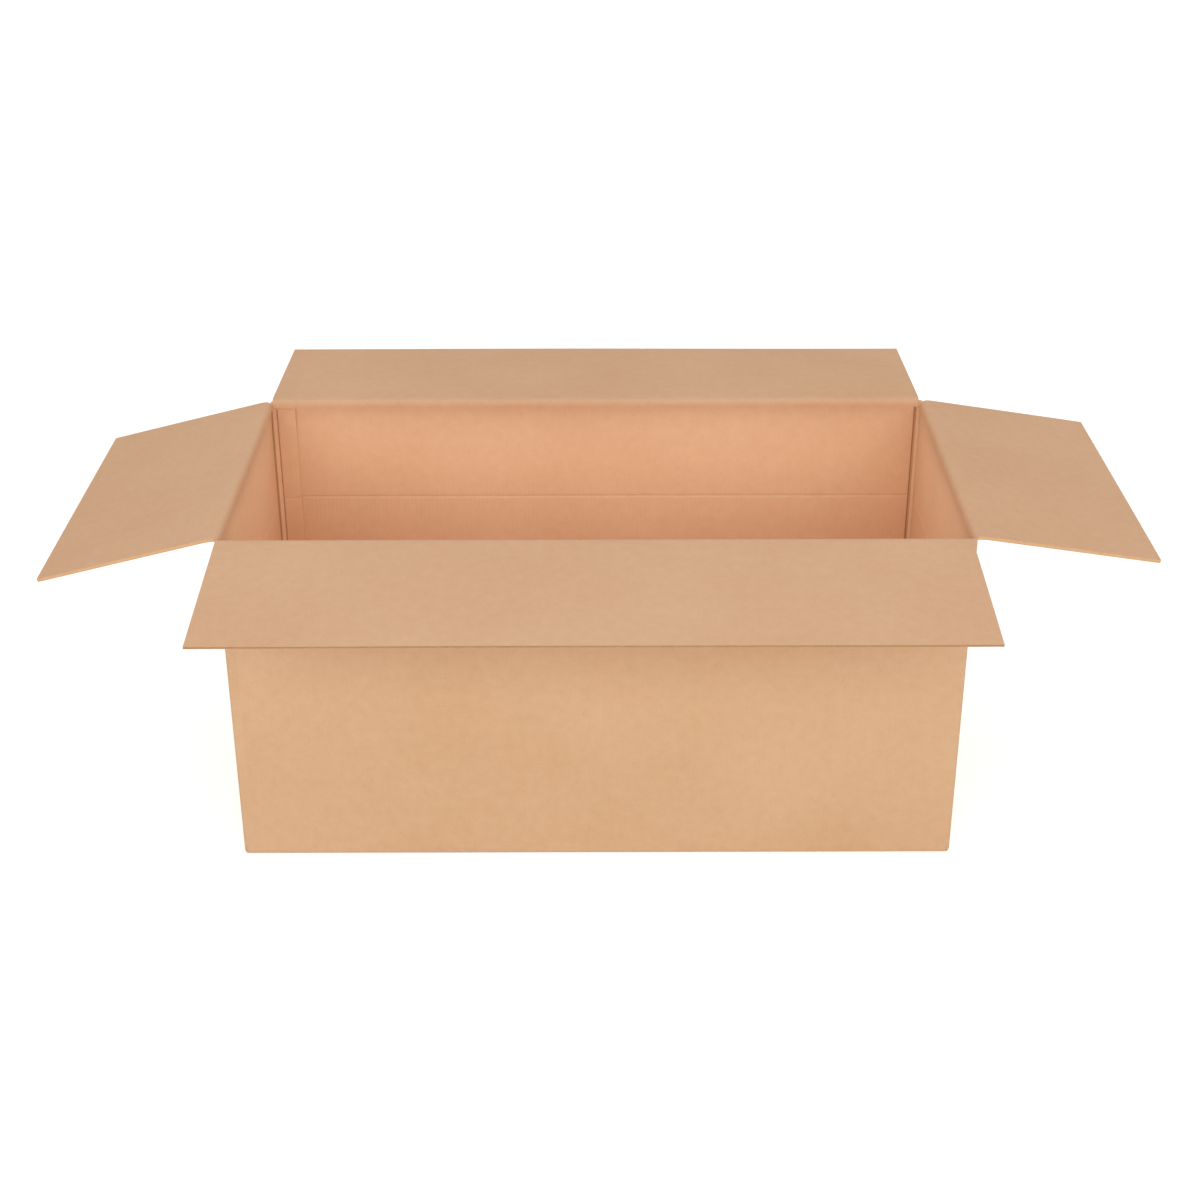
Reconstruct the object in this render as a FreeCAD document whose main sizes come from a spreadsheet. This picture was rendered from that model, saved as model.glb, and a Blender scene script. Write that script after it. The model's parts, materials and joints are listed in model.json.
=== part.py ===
import FreeCAD, Part
import os
import Sketcher

# Open carton of double-wall corrugated board, in millimetres.
# The origin is the middle of the base, +X runs along the length, +Y to the back, +Z up.
# The walls, the glue tab and the bottom flaps are one folded sheet. Each top flap hinges at its fold.

SIZES = (
    ("length", "1200", "outside length of the walls"),
    ("width", "600", "outside width of the walls"),
    ("board", "7", "thickness of the board"),
    ("side_fold_height", "586", "height of the fold of the left and right flaps"),
    ("stack_gap", "0.5", "gap between the closed side flaps and the flaps closed over them"),
    ("tuck_gap", "1", "gap round a side flap that is closed between the walls"),
    ("crease_gap", "0.3", "gap between a wall and its flap at the fold"),
    ("closed_seam", "7", "gap left between the closed front and back flaps"),
    ("crush_length", "10", "length over which the board is crushed flat towards a front or back fold"),
    ("front_left_inset", "3.5", "slot at the left end of the front flap"),
    ("front_right_inset", "10", "slot at the right end of the front flap"),
    ("front_root_inset", "5.5", "the same slot where it starts at the fold"),
    ("slot_taper", "41", "length over which that slot widens from the fold"),
    ("back_left_inset", "5", "slot at the left end of the back flap"),
    ("back_right_inset", "7.5", "slot at the right end of the back flap"),
    ("front_droop_angle", "6", "angle of the front flap below the horizontal, degrees"),
    ("back_droop_angle", "2", "angle of the back flap below the horizontal, degrees"),
    ("left_droop_angle", "14", "angle of the left flap below the horizontal, degrees"),
    ("right_droop_angle", "8.5", "angle of the right flap below the horizontal, degrees"),
    ("fold_radius", "5", "outside radius of a folded edge"),
    ("bead_leg", "5.5", "reach of the buckled liner along each wall in an inside corner"),
    ("tab_bead_leg", "9", "reach of the buckled liner along the glue tab"),
    ("groove_width", "3", "width of the groove beside a buckled liner"),
    ("groove_depth", "1.2", "depth of the groove beside a buckled liner"),
    ("tab_width", "40", "width of the glue tab on the back wall"),
    ("joint_slit", "2", "step back of the sheet's cut end at the glued corner"),
    ("joint_bevel", "4", "width of the slanted fold beside the glued corner's cut end"),
    ("score_height", "400", "height of the extra fold line pressed into the walls"),
    ("score_width", "8", "width of the extra fold line"),
    ("score_depth", "1.5", "depth of the extra fold line"),
    ("bottom_seam", "1", "gap between the two outer bottom flaps"),
    ("bottom_inset", "3", "slot at each end of the outer bottom flaps"),
    ("bottom_play", "2", "gap between the inner bottom flaps and the walls beside them"),
    ("lap_gap", "0.3", "gap between the inner and the outer bottom flaps"),
    ("tape_width", "50", "width of the packing tape"),
    ("tape_thickness", "0.15", "thickness of the packing tape"),
    ("tape_rise", "60", "height that the tape reaches up each end wall"),
)

# Places that several features share, each worked out from the sizes above.
HALF_LENGTH = "(Sizes.length / 2)"
HALF_WIDTH = "(Sizes.width / 2)"
INNER_X = "(Sizes.length / 2 - Sizes.board)"
INNER_Y = "(Sizes.width / 2 - Sizes.board)"
TAB_Y = "(Sizes.width / 2 - 2 * Sizes.board)"
TAB_END = "(Sizes.length / 2 - Sizes.board - Sizes.tab_width)"
FRONT_FOLD = "(Sizes.side_fold_height + Sizes.stack_gap + Sizes.board / 2)"
FLAP_REACH = "(Sizes.width / 2 - Sizes.closed_seam / 2)"
LAP_TOP = "(Sizes.board + Sizes.lap_gap)"
FLOOR_TOP = "(2 * Sizes.board + Sizes.lap_gap)"
TUCK_TOP = "(Sizes.side_fold_height - Sizes.board - Sizes.tuck_gap)"
CRUSH_SLOPE = "(Sizes.board / 2 / Sizes.crush_length)"

doc = FreeCAD.newDocument("open_carton")
sheet = doc.addObject("Spreadsheet::Sheet", "Sizes")
for row, (alias, value, meaning) in enumerate(SIZES, start=1):
    sheet.set(f"A{row}", alias)
    sheet.set(f"B{row}", value)
    sheet.set(f"C{row}", meaning)
    sheet.setAlias(f"B{row}", alias)
doc.recompute()


def new_body(name):
    body = doc.addObject("PartDesign::Body", name)
    body.Label = name
    return body


def new_sketch(body, name, role, outlines, offset="0"):
    """Sketch on one of the body's own origin planes, with closed outlines set by expressions.

    A corner is (x, y), or (x, y, centre_x) where the edge that leaves it is an arc."""
    sketch = body.newObject("Sketcher::SketchObject", name)
    plane = next(item for item in body.Origin.OriginFeatures if item.Role == role)
    sketch.AttachmentSupport = [(plane, "")]
    sketch.MapMode = "FlatFace"
    sketch.setExpression("AttachmentOffset.Base.z", offset)
    for corners in outlines:
        add_outline(sketch, corners)
    return sketch


def add_outline(sketch, corners):
    first = sketch.GeometryCount
    count = len(corners)
    points = []
    for corner in corners:
        points.append(FreeCAD.Vector(sheet.evalExpression(corner[0]), sheet.evalExpression(corner[1]), 0))
    for step, corner in enumerate(corners):
        start = points[step]
        end = points[(step + 1) % count]
        if len(corner) == 3:
            sketch.addGeometry(quarter_arc(start, end, sheet.evalExpression(corner[2])), False)
        else:
            sketch.addGeometry(Part.LineSegment(start, end), False)
    for step, corner in enumerate(corners):
        edge = first + step
        following = first + (step + 1) % count
        # An arc runs counter-clockwise, so its own end point may be the edge's first corner.
        leaves = point_at(sketch, edge, points[step])
        arrives = point_at(sketch, edge, points[(step + 1) % count])
        joins = point_at(sketch, following, points[(step + 1) % count])
        sketch.addConstraint(Sketcher.Constraint("Coincident", edge, arrives, following, joins))
        bind(sketch, "DistanceX", edge, leaves, points[step].x, corner[0])
        bind(sketch, "DistanceY", edge, leaves, points[step].y, corner[1])
        if len(corner) == 3:
            bind(sketch, "DistanceX", edge, 3, sheet.evalExpression(corner[2]), corner[2])


def quarter_arc(start, end, centre_x):
    centre_y = end.y if abs(centre_x - start.x) < abs(centre_x - end.x) else start.y
    centre = FreeCAD.Vector(centre_x, centre_y, 0)
    out = (start + end) * 0.5 - centre
    middle = centre + out.normalize() * (start - centre).Length
    return Part.Arc(start, middle, end)


def point_at(sketch, edge, place):
    """Number of the edge's end that lies at place: 1 for its start and 2 for its end."""
    return 1 if sketch.getPoint(edge, 1).isEqual(place, 1e-6) else 2


def bind(sketch, kind, edge, end, place, expression):
    index = sketch.addConstraint(Sketcher.Constraint(kind, -1, 1, edge, end, place))
    sketch.setExpression(f"Constraints[{index}]", expression)


def mirror_x(corners):
    return [(f"-({corner[0]})", corner[1]) + tuple(f"-({x})" for x in corner[2:]) for corner in corners]


def rectangle(low_x, high_x, low_y, high_y):
    return [(low_x, low_y), (high_x, low_y), (high_x, high_y), (low_x, high_y)]


def extrude(body, kind, name, sketch, length, reverse=False, both_ways=False):
    """Pad or Pocket of a sketch, which has to add or remove material."""
    before = body.Shape.Volume if body.Tip else 0
    feature = body.newObject(f"PartDesign::{kind}", name)
    feature.Profile = sketch
    feature.Type = "Length"
    feature.SideType = "Symmetric" if both_ways else "One side"
    feature.Reversed = reverse
    feature.setExpression("Length", length)
    doc.recompute()
    change = body.Shape.Volume - before
    if (kind == "Pad" and change <= 0) or (kind == "Pocket" and change >= 0):
        raise RuntimeError(f"{name} changes the volume by {change}")
    return feature


def carton_body():
    """Walls, glue tab and bottom flaps, folded from one sheet."""
    body = new_body("carton_body")
    outer = new_sketch(body, "outer_outline", "XY_Plane",
                       [rectangle(f"-{HALF_LENGTH}", HALF_LENGTH, f"-{HALF_WIDTH}", HALF_WIDTH)])
    block = extrude(body, "Pad", "block", outer, FRONT_FOLD)
    round_folds(body, block)
    inner = new_sketch(body, "inner_outline", "XY_Plane",
                       [rectangle(f"-{INNER_X}", INNER_X, f"-{INNER_Y}", INNER_Y)])
    extrude(body, "Pocket", "inside", inner, FRONT_FOLD, reverse=True)
    trim_front_and_back(body)
    trim_sides(body)
    open_glued_corner(body)
    add_glue_tab(body)
    add_corner_beads(body)
    press_score_line(body)
    add_bottom_flaps(body)
    return body


def round_folds(body, block):
    """Rounds the vertical folds and the folds at the base."""
    names = []
    for number, edge in enumerate(block.Shape.Edges, start=1):
        box = edge.BoundBox
        if box.ZLength > box.XLength + box.YLength or box.ZMax < sheet.evalExpression("Sizes.board"):
            names.append(f"Edge{number}")
    fillet = body.newObject("PartDesign::Fillet", "rounded_folds")
    fillet.Base = (block, names)
    fillet.setExpression("Radius", "Sizes.fold_radius")
    doc.recompute()


def trim_front_and_back(body):
    """Slants the front and back walls' top edges, to clear the crushed ends of their flaps."""
    outer_y = f"-({HALF_WIDTH} + Sizes.board)"
    inner_y = f"-({HALF_WIDTH} - Sizes.board - Sizes.tuck_gap / 2)"
    outer_top = f"{FRONT_FOLD} - Sizes.crease_gap + (Sizes.board - Sizes.crease_gap) * {CRUSH_SLOPE}"
    inner_drop = f"(Sizes.crease_gap + Sizes.board + Sizes.tuck_gap / 2) * {CRUSH_SLOPE}"
    inner_top = f"{FRONT_FOLD} - Sizes.crease_gap - {inner_drop}"
    above = f"{FRONT_FOLD} + Sizes.board"
    front = [(outer_y, outer_top), (inner_y, inner_top), (inner_y, above), (outer_y, above)]
    tops = new_sketch(body, "front_and_back_tops", "YZ_Plane", [front, mirror_x(front)])
    extrude(body, "Pocket", "slanted_tops", tops, "Sizes.length + 2 * Sizes.board", both_ways=True)


def trim_sides(body):
    """Slants the side walls' top edges and lifts their bottom folds onto the outer bottom flaps."""
    outer_x = f"-({HALF_LENGTH} + Sizes.board)"
    inner_x = f"-({INNER_X} - Sizes.tuck_gap / 2)"
    edge = "Sizes.side_fold_height - Sizes.crease_gap * sqrt(2)"
    outer_top = f"{edge} + Sizes.board"
    inner_top = f"{edge} - Sizes.board - Sizes.tuck_gap / 2"
    above = f"{FRONT_FOLD} + Sizes.board"
    top = [(outer_x, outer_top), (inner_x, inner_top), (inner_x, above), (outer_x, above)]
    arc_low = f"-({HALF_LENGTH} - Sizes.fold_radius)"
    arc_high = f"{LAP_TOP} + Sizes.fold_radius"
    below = "-Sizes.board"
    bottom = [(outer_x, below), (inner_x, below), (inner_x, LAP_TOP), (arc_low, LAP_TOP, arc_low),
              (f"-{HALF_LENGTH}", arc_high), (outer_x, arc_high)]
    ends = new_sketch(body, "side_wall_edges", "XZ_Plane", [top, mirror_x(top), bottom, mirror_x(bottom)])
    extrude(body, "Pocket", "trimmed_sides", ends, f"2 * {INNER_Y}", both_ways=True)


def open_glued_corner(body):
    """Steps the back wall's cut end back from the left wall's fold, down the whole corner."""
    slit = [(f"-({HALF_LENGTH} + Sizes.board)", f"{INNER_Y} - Sizes.joint_bevel - Sizes.board"),
            (f"-({HALF_LENGTH} - Sizes.joint_bevel)", INNER_Y),
            (f"-({HALF_LENGTH} - Sizes.joint_slit)", INNER_Y),
            (f"-({HALF_LENGTH} - Sizes.joint_slit)", f"{HALF_WIDTH} + Sizes.board"),
            (f"-({HALF_LENGTH} + Sizes.board)", f"{HALF_WIDTH} + Sizes.board")]
    sketch = new_sketch(body, "glued_corner_slit", "XY_Plane", [slit])
    extrude(body, "Pocket", "glued_corner", sketch, f"{FRONT_FOLD} + Sizes.board", reverse=True)


def add_glue_tab(body):
    """Tab folded from the left wall and glued flat inside the back wall."""
    tab = rectangle(f"-{INNER_X}", f"-{TAB_END}", TAB_Y, INNER_Y)
    start = f"{FLOOR_TOP} + Sizes.tuck_gap"
    sketch = new_sketch(body, "tab_outline", "XY_Plane", [tab], start)
    extrude(body, "Pad", "glue_tab", sketch, f"{TUCK_TOP} - {FLOOR_TOP} - Sizes.tuck_gap")


def add_corner_beads(body):
    """Fills each inside corner with the liner that buckles there, between two grooves."""
    beads = []
    grooves = []
    plain = ("Sizes.bead_leg", "Sizes.bead_leg")
    by_tab = ("Sizes.tab_bead_leg", "Sizes.bead_leg")
    corners = (("-", "-", INNER_X, INNER_Y, plain), ("", "-", INNER_X, INNER_Y, plain),
               ("", "", INNER_X, INNER_Y, plain), ("-", "", INNER_X, TAB_Y, by_tab))
    width = "Sizes.groove_width"
    depth = "Sizes.groove_depth"
    for x_sign, y_sign, x, y, (x_leg, y_leg) in corners:
        beads.append([(f"{x_sign}{x}", f"{y_sign}{y}"),
                      (f"{x_sign}({x} - {x_leg})", f"{y_sign}{y}"),
                      (f"{x_sign}{x}", f"{y_sign}({y} - {y_leg})")])
        grooves.append([(f"{x_sign}({x} - {x_leg})", f"{y_sign}{y}"),
                        (f"{x_sign}({x} - {x_leg} - {width} / 2)", f"{y_sign}({y} + {depth})"),
                        (f"{x_sign}({x} - {x_leg} - {width})", f"{y_sign}{y}")])
        grooves.append([(f"{x_sign}{x}", f"{y_sign}({y} - {y_leg})"),
                        (f"{x_sign}({x} + {depth})", f"{y_sign}({y} - {y_leg} - {width} / 2)"),
                        (f"{x_sign}{x}", f"{y_sign}({y} - {y_leg} - {width})")])
    height = f"{TUCK_TOP} - {FLOOR_TOP}"
    bead_sketch = new_sketch(body, "bead_outlines", "XY_Plane", beads, FLOOR_TOP)
    extrude(body, "Pad", "corner_beads", bead_sketch, height)
    groove_sketch = new_sketch(body, "groove_outlines", "XY_Plane", grooves, FLOOR_TOP)
    extrude(body, "Pocket", "corner_grooves", groove_sketch, height, reverse=True)


def score_section(surface):
    """V-shaped section of the extra fold line, pressed outwards into the face at surface."""
    low = "Sizes.score_height - Sizes.score_width / 2"
    high = "Sizes.score_height + Sizes.score_width / 2"
    return [(surface, low), (f"{surface} + Sizes.score_depth", "Sizes.score_height"), (surface, high)]


def press_score_line(body):
    """Presses the extra fold line into the inside of the walls and the tab."""
    corner = "(Sizes.bead_leg + Sizes.groove_width)"
    front = new_sketch(body, "front_score", "YZ_Plane", [mirror_x(score_section(INNER_Y))])
    extrude(body, "Pocket", "front_score_line", front, f"2 * ({INNER_X} - {corner})", both_ways=True)
    back = new_sketch(body, "back_score", "YZ_Plane", [score_section(INNER_Y)], f"{INNER_X} - {corner}")
    extrude(body, "Pocket", "back_score_line", back, f"{INNER_X} - {corner} + {TAB_END}")
    tab = new_sketch(body, "tab_score", "YZ_Plane", [score_section(TAB_Y)], f"-{TAB_END}")
    tab_run = "Sizes.tab_width - Sizes.tab_bead_leg - Sizes.groove_width"
    extrude(body, "Pocket", "tab_score_line", tab, tab_run)
    sides = new_sketch(body, "side_scores", "XZ_Plane",
                       [score_section(INNER_X), mirror_x(score_section(INNER_X))], f"-({TAB_Y} - {corner})")
    extrude(body, "Pocket", "side_score_lines", sides, f"{TAB_Y} + {INNER_Y} - 2 * {corner}", reverse=True)


def add_bottom_flaps(body):
    """Folds the side walls' flaps in first and the front and back flaps under them."""
    outer = rectangle(f"-({HALF_LENGTH} - Sizes.bottom_inset)", f"{HALF_LENGTH} - Sizes.bottom_inset",
                      f"-{INNER_Y}", "-Sizes.bottom_seam / 2")
    outer_back = [(x, f"-({y})") for x, y in outer]
    under = new_sketch(body, "outer_bottom_outlines", "XY_Plane", [outer, outer_back])
    extrude(body, "Pad", "outer_bottom_flaps", under, "Sizes.board")
    tip = f"-({HALF_LENGTH} - {FLAP_REACH} - Sizes.board / 2)"
    half_span = f"({INNER_Y} - Sizes.bottom_play)"
    inner = rectangle(f"-{INNER_X}", tip, f"-{half_span}", half_span)
    over = new_sketch(body, "inner_bottom_outlines", "XY_Plane", [inner, mirror_x(inner)], LAP_TOP)
    extrude(body, "Pad", "inner_bottom_flaps", over, "Sizes.board")
    half_tape = "Sizes.tape_width / 2"
    pressed = new_sketch(body, "tape_bed_outline", "XY_Plane",
                         [rectangle(f"-{HALF_LENGTH}", HALF_LENGTH, f"-{half_tape}", half_tape)])
    extrude(body, "Pocket", "tape_bed", pressed, "Sizes.tape_thickness", reverse=True)


def place(body, x, y, z, axis, angle):
    """Puts a flap's fold at x, y, z and turns the flap about it by angle, in degrees."""
    for name, part in zip("xyz", axis):
        body.setExpression(f"Placement.Rotation.Axis.{name}", str(part))
    body.setExpression("Placement.Rotation.Angle", angle)
    for name, position in zip("xyz", (x, y, z)):
        body.setExpression(f"Placement.Base.{name}", position)


def long_flap(name, side, left_inset, right_inset, droop):
    """Front or back flap: its fold runs through the middle of the board, crushed on both faces.

    side is -1 for the front and 1 for the back."""
    body = new_body(name)
    tip_half = f"Sizes.crease_gap * {CRUSH_SLOPE}"
    half = "Sizes.board / 2"
    section = [("Sizes.crease_gap", f"-{tip_half}"), ("Sizes.crush_length", f"-{half}"),
               (FLAP_REACH, f"-{half}"), (FLAP_REACH, half),
               ("Sizes.crush_length", half), ("Sizes.crease_gap", tip_half)]
    if side < 0:
        section = mirror_x(section)
    sketch = new_sketch(body, f"{name}_section", "YZ_Plane", [section])
    extrude(body, "Pad", f"{name}_panel", sketch, f"Sizes.length - {left_inset} - {right_inset}")
    place(body, f"-{HALF_LENGTH} + {left_inset}", f"{side} * ({HALF_WIDTH} + Sizes.crease_gap)", FRONT_FOLD,
          (1, 0, 0), f"{-side} * {droop}")
    return body


def front_flap():
    """Front flap, with a slot at its right end that widens away from the fold."""
    name = "front_top_flap"
    body = long_flap(name, -1, "Sizes.front_left_inset", "Sizes.front_root_inset", "Sizes.front_droop_angle")
    root = "Sizes.length - Sizes.front_left_inset - Sizes.front_root_inset"
    end = "Sizes.length - Sizes.front_left_inset - Sizes.front_right_inset"
    slot = [(root, "0"), (end, "-Sizes.slot_taper"), (end, f"-({FLAP_REACH} + Sizes.board)"),
            (f"{root} + Sizes.board", f"-({FLAP_REACH} + Sizes.board)"), (f"{root} + Sizes.board", "0")]
    sketch = new_sketch(body, "front_slot_outline", "XY_Plane", [slot])
    extrude(body, "Pocket", "front_slot", sketch, "2 * Sizes.board", both_ways=True)
    return body


def side_flap(name, side, droop):
    """Left or right flap: its fold runs along its outer face, and its end is slanted to match the wall.

    side is -1 for the left and 1 for the right."""
    body = new_body(name)
    section = [("Sizes.crease_gap", "0"), (FLAP_REACH, "0"), (FLAP_REACH, "Sizes.board"),
               ("Sizes.crease_gap + Sizes.board", "Sizes.board")]
    if side < 0:
        section = mirror_x(section)
    sketch = new_sketch(body, f"{name}_section", "XZ_Plane", [section])
    extrude(body, "Pad", f"{name}_panel", sketch, f"2 * ({INNER_Y} - Sizes.tuck_gap)", both_ways=True)
    place(body, f"{side} * ({HALF_LENGTH} + Sizes.crease_gap)", "0", "Sizes.side_fold_height",
          (0, 1, 0), f"{side} * {droop}")
    return body


def bottom_tape():
    """Strip of packing tape under the bottom seam, turned up on both end walls."""
    body = new_body("bottom_tape")
    flap_end = f"{HALF_LENGTH} - Sizes.bottom_inset"
    inner = [(HALF_LENGTH, "Sizes.tape_rise"), (HALF_LENGTH, LAP_TOP), (flap_end, "Sizes.tape_thickness")]
    outer = [(f"{flap_end} + Sizes.tape_thickness", "0"), (f"{HALF_LENGTH} + Sizes.tape_thickness", LAP_TOP),
             (f"{HALF_LENGTH} + Sizes.tape_thickness", "Sizes.tape_rise")]
    section = outer + inner + mirror_x(inner[::-1]) + mirror_x(outer[::-1])
    sketch = new_sketch(body, "tape_section", "XZ_Plane", [section])
    extrude(body, "Pad", "tape_strip", sketch, "Sizes.tape_width", both_ways=True)
    return body


parts = [
    carton_body(),
    front_flap(),
    long_flap("back_top_flap", 1, "Sizes.back_left_inset", "Sizes.back_right_inset",
              "Sizes.back_droop_angle"),
    side_flap("left_top_flap", -1, "Sizes.left_droop_angle"),
    side_flap("right_top_flap", 1, "Sizes.right_droop_angle"),
    bottom_tape(),
]
doc.recompute()

for item in doc.Objects:
    if "Invalid" in item.State or "Error" in item.State:
        raise RuntimeError(f"{item.Label} failed: {item.State}")
for body in parts:
    if body.Shape.isNull() or not body.Shape.isValid():
        raise RuntimeError(f"{body.Label} has no valid shape")
    if len(body.Shape.Solids) != 1:
        raise RuntimeError(f"{body.Label} has {len(body.Shape.Solids)} solids")

os.makedirs("parts", exist_ok=True)
for body in parts:
    body.Shape.exportStep(f"parts/{body.Label}.step")
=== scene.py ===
import json
import math

import bmesh
import bpy
import numpy as np
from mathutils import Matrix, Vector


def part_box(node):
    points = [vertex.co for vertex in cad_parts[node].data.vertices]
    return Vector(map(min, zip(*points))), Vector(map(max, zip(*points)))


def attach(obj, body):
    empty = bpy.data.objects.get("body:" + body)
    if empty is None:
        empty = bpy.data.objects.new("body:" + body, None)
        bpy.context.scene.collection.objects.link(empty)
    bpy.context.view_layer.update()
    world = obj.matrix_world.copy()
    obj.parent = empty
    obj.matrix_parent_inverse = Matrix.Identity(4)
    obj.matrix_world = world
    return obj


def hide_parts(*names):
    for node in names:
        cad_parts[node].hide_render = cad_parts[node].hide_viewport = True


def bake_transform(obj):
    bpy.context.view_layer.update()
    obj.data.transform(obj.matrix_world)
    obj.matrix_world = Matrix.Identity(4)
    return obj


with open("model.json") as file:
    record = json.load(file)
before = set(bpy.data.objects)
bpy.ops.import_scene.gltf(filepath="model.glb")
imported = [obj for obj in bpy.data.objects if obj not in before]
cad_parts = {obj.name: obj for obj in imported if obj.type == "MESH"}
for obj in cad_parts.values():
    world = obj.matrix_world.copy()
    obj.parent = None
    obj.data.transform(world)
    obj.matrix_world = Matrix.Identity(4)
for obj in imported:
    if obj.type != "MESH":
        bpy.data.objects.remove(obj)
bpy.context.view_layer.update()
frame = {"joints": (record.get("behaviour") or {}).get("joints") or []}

# Open carton of double-wall corrugated board, in metres.
# A point of the board has a place across the flutes (u) and a place along them (v), as on the flat sheet.
# A section of a folded board is drawn in (out, up), from its fold.

MM = 0.001
TAPE_FILM = 0.15 * MM
HALF_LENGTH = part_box("bottom_tape")[1].x - TAPE_FILM
HALF_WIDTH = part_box("carton_body")[1].y
FLAP_REACH = HALF_WIDTH - 3.5 * MM
JOINTS = {joint["name"]: joint for joint in frame["joints"]}
SIDE_HINGE = JOINTS["right_fold"]["pos_m"]
BODY_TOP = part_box("carton_body")[1].z

# Board: an inner liner on C flutes, a middle liner, and B flutes on the outer liner.
# Handling has flattened its walls and top flaps. The bottom keeps the solids' thickness.
FULL_BOARD = 7 * MM
BOARD = 5.6 * MM
C_PITCH = 7.85 * MM
B_PITCH = 6.5 * MM
MEDIUM = 0.3 * MM
FLUTE_DEPTH = 12 * MM
INNER_LINER, C_END, B_START, B_END = 0.064, 0.564, 0.607, 0.936
CUT_LEVELS = np.array([0, INNER_LINER, 0.22, 0.42, C_END, B_START, 0.71, 0.84, B_END, 1])
CUT_RECESS = np.array([0, 0, 0.8, 0.6, 0, 0, 0.5, 0.7, 0, 0]) * MM
INNER_RIDGE = 0.035 * MM
DEEP_RIDGE = 0.09 * MM
OUTER_RIDGE = 0.03 * MM
RIDGE_STEPS = 6
FLUTE_STEPS = 8

# Corners of the walls, and the heights where the plain walls meet their folds.
FOLD_RADIUS = 5 * MM
CORNER_REACH = 15.5 * MM
TAB_CORNER_REACH = 22.5 * MM
WALL_TOP = SIDE_HINGE[2] - 8 * MM
WALL_FOOT = 20 * MM
SCORE_HEIGHT = 400 * MM
SCORE_DEPTH = 1.0 * MM
SCORE_ROWS = SCORE_HEIGHT + np.array([-5, -3, -0.5, 0.5, 3, 5]) * MM
LAP_TOP = 7.3 * MM
FLAT_TOP = 60 * MM

# Glue tab, in mm from the corner that it is glued at: where its face's bead starts and where the tab ends.
TAB_START, TAB_END, TAB_TOP = 19.2, 47, 578

# How much painted shade lies across a groove, drawn as darker paper where the groove's shade falls (partly
# the real darkening of crushed paper), and how much the glued corner's board is pinched.
GROOVE_DARKENING = np.array([0.3, 1, 1, 0.8, 0.2])
PINCH = 2.2 * MM
PINCH_LENGTH = 45 * MM

INSIDE, OUTSIDE, CUT = 0, 1, 2
SIDES = {
    "front": {"out": (0, -1), "along": (1, 0), "reach": HALF_WIDTH, "sheet": (1, 0.0)},
    "right": {"out": (1, 0), "along": (0, 1), "reach": HALF_LENGTH, "sheet": (1, 0.9)},
    "back": {"out": (0, 1), "along": (1, 0), "reach": HALF_WIDTH, "sheet": (-1, 1.8)},
    "left": {"out": (-1, 0), "along": (0, 1), "reach": HALF_LENGTH, "sheet": (-1, 2.7)},
}


class Sheets:
    """Grids of points and their quads, gathered into one mesh with each point's place on the flat sheet."""

    def __init__(self, name):
        self.name = name
        self.points = []
        self.places = []
        self.quads = []
        self.finishes = []
        self.groove_shades = []
        self.count = 0

    def grid(self, points, places, finish, wrap=False, groove_shade=0):
        """Adds rows x columns of points. finish is one number or one for each row of quads.

        wrap joins the last row to the first. The groove argument is painted shade: how much darker the paper
        is drawn in a groove, from 0 to 1."""
        rows, columns = points.shape[:2]
        self.groove_shades.append(np.broadcast_to(groove_shade, (rows, columns)).reshape(-1))
        index = self.count + np.arange(rows * columns).reshape(rows, columns)
        following = np.roll(index, -1, axis=0) if wrap else index[1:]
        here = index if wrap else index[:-1]
        quads = np.stack([here[:, :-1], here[:, 1:], following[:, 1:], following[:, :-1]], axis=-1)
        finish = np.broadcast_to(np.asarray(finish).reshape(-1, 1), quads.shape[:2])
        self.points.append(points.reshape(-1, 3))
        self.places.append(places.reshape(-1, 2))
        self.quads.append(quads.reshape(-1, 4))
        self.finishes.append(finish.reshape(-1))
        self.count += rows * columns

    def build(self, materials, fill=None):
        """Makes the object: merges shared edges, closes open ends in slot fill, turns faces out."""
        points = np.concatenate(self.points)
        places = np.concatenate(self.places)
        quads = np.concatenate(self.quads)
        mesh = bpy.data.meshes.new(self.name)
        mesh.from_pydata(points.tolist(), [], quads.tolist())
        for material in materials:
            mesh.materials.append(material)
        mesh.polygons.foreach_set("material_index", np.concatenate(self.finishes).astype(np.int32))
        sheet = mesh.uv_layers.new(name="sheet")
        sheet.data.foreach_set("uv", places[quads.reshape(-1)].astype(np.float32).reshape(-1))
        # Painted shade: for each point, how much darker the paper is drawn in a groove; the kraft materials
        # read it.
        groove_shade = mesh.attributes.new("groove_shade", "FLOAT", "POINT")
        groove_shade.data.foreach_set("value", np.concatenate(self.groove_shades).astype(np.float32))
        work = bmesh.new()
        work.from_mesh(mesh)
        bmesh.ops.remove_doubles(work, verts=work.verts, dist=0.004 * MM)
        if fill is not None:
            open_edges = [edge for edge in work.edges if edge.is_boundary]
            for face in bmesh.ops.holes_fill(work, edges=open_edges, sides=0)["faces"]:
                face.material_index = fill
        bmesh.ops.recalc_face_normals(work, faces=work.faces)
        work.to_mesh(mesh)
        work.free()
        mesh.shade_smooth()
        mesh.set_sharp_from_angle(angle=math.radians(38))
        piece = bpy.data.objects.new(self.name, mesh)
        bpy.context.scene.collection.objects.link(piece)
        return piece


def ridges(u, side, height, pitch):
    """Washboard: height x cos(2 pi u / pitch), faded out towards the wall's corners."""
    straight = (HALF_LENGTH if side in ("front", "back") else HALF_WIDTH) - TAB_CORNER_REACH
    fade = np.clip((straight - np.abs(u)) / (10 * MM), 0, 1)
    return height * np.cos(2 * np.pi * u / pitch) * fade


def ragged(u):
    """Unevenness of a cut across the flutes: two sines of the place along the cut."""
    return (0.16 + 0.1 * np.sin(u * 295) + 0.06 * np.sin(u * 885 + 1)) * MM


def unit_rows(vectors):
    return vectors / np.linalg.norm(vectors, axis=-1, keepdims=True)


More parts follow.
